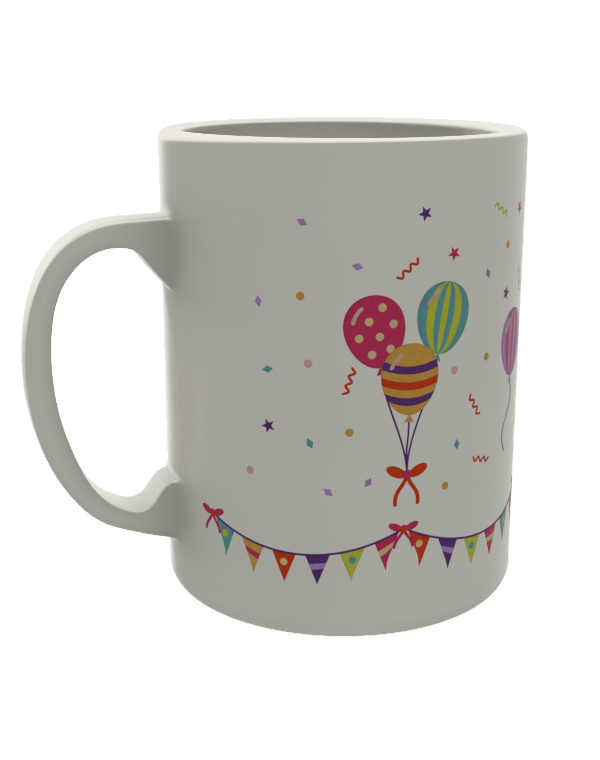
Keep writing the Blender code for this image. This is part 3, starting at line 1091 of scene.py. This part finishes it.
rng = np.random.default_rng(CONFETTI_SEED)
strewn = []
for _ in range(CONFETTI_TRIES):
    along, height = rng.normal(CONFETTI_MIDDLE, CONFETTI_SPREAD)
    inside_field = (CONFETTI_ALONG[0] < along < CONFETTI_ALONG[1]
                    and CONFETTI_HEIGHTS[0] < height < CONFETTI_HEIGHTS[1])
    gaps = [math.hypot(along - other[0], height - other[1]) for other in strewn]
    apart = all(gap > CONFETTI_APART for gap in gaps)
    if inside_field and apart and clear_of_balloons(along, height):
        strewn.append((along, height))
for number, (along, height) in enumerate(strewn):
    lean = rng.uniform(-math.pi, math.pi)
    for face in range(2):
        colour = CONFETTI_COLOURS[(number * 3 + face) % len(CONFETTI_COLOURS)]
        place = (along + face * FACE_SPACING, height)
        kind = number % 4
        if kind == 0:
            sheet = filled(star(STAR_RADIUS), place, lean, STAR_STEPS, 0)
        elif kind == 1:
            sheet = dot(DOT_RADIUS, place, 0)
        elif kind == 2:
            sheet = filled(cornered(DIAMOND), place, lean, DIAMOND_STEPS, 0)
        else:
            go = np.linspace(-0.5, 0.5, STREAMER_POINTS)
            wave = STREAMER_WAVE * np.cos(go * 2 * STREAMER_WAVES * math.pi)
            sheet = ribbon(*leant(STREAMER_LENGTH * go, wave, place, lean), STREAMER_WIDTH, 0)
        lay("confetti", colour, sheet)


def fired_ink(colour, tone):
    """Ink sunk into the glaze: faintly mottled in strength and gloss."""
    material, nodes, links, shader = new_material("ink_" + colour)
    shader.inputs["Specular IOR Level"].default_value = INK_SHINE
    mottle = clouds(nodes, links, *INK_CLOUDS)
    stops = [
        (position, (*(min(part * strength, 1.0) for part in tone), 1.0))
        for position, strength in INK_STRENGTHS
    ]
    links.new(toned(nodes, links, mottle, stops), shader.inputs["Base Color"])
    uneven_gloss(nodes, links, mottle, *INK_GLOSS, shader)
    return material


ink_materials = {colour: fired_ink(colour, tone) for colour, tone in INK_TONES.items()}
for (motif, colour), sheets in ink_sheets.items():
    first = np.concatenate(([0], np.cumsum([len(points) for points, _ in sheets])))
    make_piece(
        motif + "_" + colour, np.vstack([points for points, _ in sheets]),
        np.vstack([quads + start for (_, quads), start in zip(sheets, first)]),
        no_triangles, ink_materials[colour],
    )


# Floor and light: a plain pale sheet that glows by itself, so that it stays white under the mug,
# a white studio whose reflections are dimmer towards the handle, and one soft lamp high behind.
FLOOR_SIZE = 6.0
FLOOR_DROP = 0.0001
FLOOR_TONES = ((0.0, (0.86, 0.86, 0.86, 1.0)), (1.0, (0.90, 0.90, 0.90, 1.0)))
FLOOR_CLOUDS = (6.0, 2.0)
FLOOR_ROUGHNESS = 0.9
WHITE = (1.0, 1.0, 1.0, 1.0)
SEEN_WHITE = 1.65
WALL_LEVEL = 0.445
SHINE_ROUND = ((-0.50, 0.38), (0.0, 0.86), (0.30, 0.82), (0.60, 0.70))
SHINE_BELOW = 0.44
SHINE_FALLS_BETWEEN = (-0.75, -0.35)
SHINE_COLOUR = (1.0, 0.99, 0.94, 1.0)
LAMP_BEHIND_HANDLE = (-0.074, 0.330, 0.500)
LAMP_RADIUS = 0.030
LAMP_WATTS = 22.0


def pale_floor():
    """Matt near-white paper with a faint cloudy tone, lit from beneath."""
    material, nodes, links, shader = new_material("pale_floor")
    cloud = clouds(nodes, links, *FLOOR_CLOUDS)
    links.new(toned(nodes, links, cloud, FLOOR_TONES), shader.inputs["Base Color"])
    shader.inputs["Roughness"].default_value = FLOOR_ROUGHNESS
    shader.inputs["Emission Color"].default_value = WHITE
    shader.inputs["Emission Strength"].default_value = SEEN_WHITE
    return material


half = FLOOR_SIZE / 2
floor_mesh = bpy.data.meshes.new("floor")
floor_mesh.from_pydata(
    [(-half, -half, -FLOOR_DROP), (half, -half, -FLOOR_DROP), (half, half, -FLOOR_DROP),
     (-half, half, -FLOOR_DROP)],
    [], [(0, 1, 2, 3)],
)
floor_mesh.materials.append(pale_floor())
floor = bpy.data.objects.new("floor", floor_mesh)
floor.visible_diffuse = False
floor.visible_glossy = False
floor.visible_shadow = False
bpy.context.scene.collection.objects.link(floor)


def either(nodes, links, ray, other, own):
    """One shader for the rays of a kind and another for the rest."""
    mix = nodes.new("ShaderNodeMixShader")
    links.new(ray, mix.inputs["Fac"])
    links.new(other, mix.inputs[1])
    links.new(own, mix.inputs[2])
    return mix.outputs["Shader"]


def studio_world():
    """White round the mug: soft on its matt side, brighter in its gloss, white behind it."""
    world = bpy.data.worlds.new("studio")
    world.use_nodes = True
    world.cycles.sampling_method = "NONE"
    nodes, links = world.node_tree.nodes, world.node_tree.links
    nodes.clear()
    ray = nodes.new("ShaderNodeLightPath")
    way = nodes.new("ShaderNodeTexCoord")
    split = nodes.new("ShaderNodeSeparateXYZ")
    links.new(way.outputs["Generated"], split.inputs["Vector"])
    values = (*SHINE_FALLS_BETWEEN, SHINE_BELOW, 1.0)
    labels = ("From Min", "From Max", "To Min", "To Max")
    fall = new_node(nodes, "ShaderNodeMapRange", dict(zip(labels, values)))
    fall.interpolation_type = "SMOOTHSTEP"
    links.new(split.outputs["Z"], fall.inputs["Value"])
    sideways = new_node(nodes, "ShaderNodeMapRange", {"From Min": -1.0})
    links.new(split.outputs["X"], sideways.inputs["Value"])
    stops = [((to_x + 1) / 2, (level, level, level, 1.0)) for to_x, level in SHINE_ROUND]
    shine = nodes.new("ShaderNodeMath")
    shine.operation = "MULTIPLY"
    links.new(toned(nodes, links, sideways.outputs["Result"], stops), shine.inputs[0])
    links.new(fall.outputs["Result"], shine.inputs[1])
    matt_side, gloss_side, seen = [
        new_node(nodes, "ShaderNodeBackground", {"Color": colour, "Strength": strength})
        for colour, strength in ((WHITE, WALL_LEVEL), (SHINE_COLOUR, 1.0), (WHITE, SEEN_WHITE))
    ]
    links.new(shine.outputs["Value"], gloss_side.inputs["Strength"])
    matt, gloss, behind = [side.outputs["Background"] for side in (matt_side, gloss_side, seen)]
    lit = either(nodes, links, ray.outputs["Is Glossy Ray"], matt, gloss)
    shown = either(nodes, links, ray.outputs["Is Camera Ray"], lit, behind)
    links.new(shown, nodes.new("ShaderNodeOutputWorld").inputs["Surface"])
    return world


bpy.context.scene.world = studio_world()
lamp_data = bpy.data.lights.new("lamp_behind", "POINT")
lamp_data.energy = LAMP_WATTS
lamp_data.shadow_soft_size = LAMP_RADIUS
lamp = bpy.data.objects.new("lamp_behind", lamp_data)
lamp.location = np.array(LAMP_BEHIND_HANDLE) + (AXIS_X, 0.0, 0.0)
lamp.visible_glossy = False
bpy.context.scene.collection.objects.link(lamp)


# Print of the picture: lit glaze comes up faster than the shaded and then levels off to cream,
# as on film, and only the surroundings come out white.
STRAIGHT_UP_TO = 0.42
STEEPER = 1.5
SHOULDER_FROM = 0.70
LIT_GLAZE = (0.850, 0.840, 0.760)
SHOULDER_STEPS = 8
SHOULDER_ENDS = 1.40
SHOULDER_STEPS_CROWD = 1.5
WHITE_BEFORE = 0.98


def film_shoulder():
    """A curve for each colour: straight, then steeper, then towards the lit glaze's tone by one
    less an exponential, and at the end up to the surroundings' white. A colour that is fainter in
    the glaze reaches each stage at its own share of the light."""
    view = bpy.context.scene.view_settings
    view.view_transform = "Standard"
    view.use_curve_mapping = True
    mapping = view.curve_mapping
    white = SEEN_WHITE * WHITE_BEFORE
    mapping.white_level = (white, white, white)
    for curve, top in zip(mapping.curves, LIT_GLAZE):
        share = top / LIT_GLAZE[0]
        toe, knee = STRAIGHT_UP_TO * share, SHOULDER_FROM * share
        knee_light = toe + (knee - toe) / STEEPER
        rise = np.linspace(0.0, 1.0, SHOULDER_STEPS + 1) ** SHOULDER_STEPS_CROWD
        light = knee_light + (SHOULDER_ENDS * share - knee_light) * rise
        tone = knee + (top - knee) * (1 - np.exp(-STEEPER * (light - knee_light) / (top - knee)))
        for x, y in zip(np.append(toe, light) / white, np.append(toe, tone)):
            curve.points.new(float(x), float(y))
        for point in curve.points:
            point.handle_type = "VECTOR"
    mapping.update()


film_shoulder()
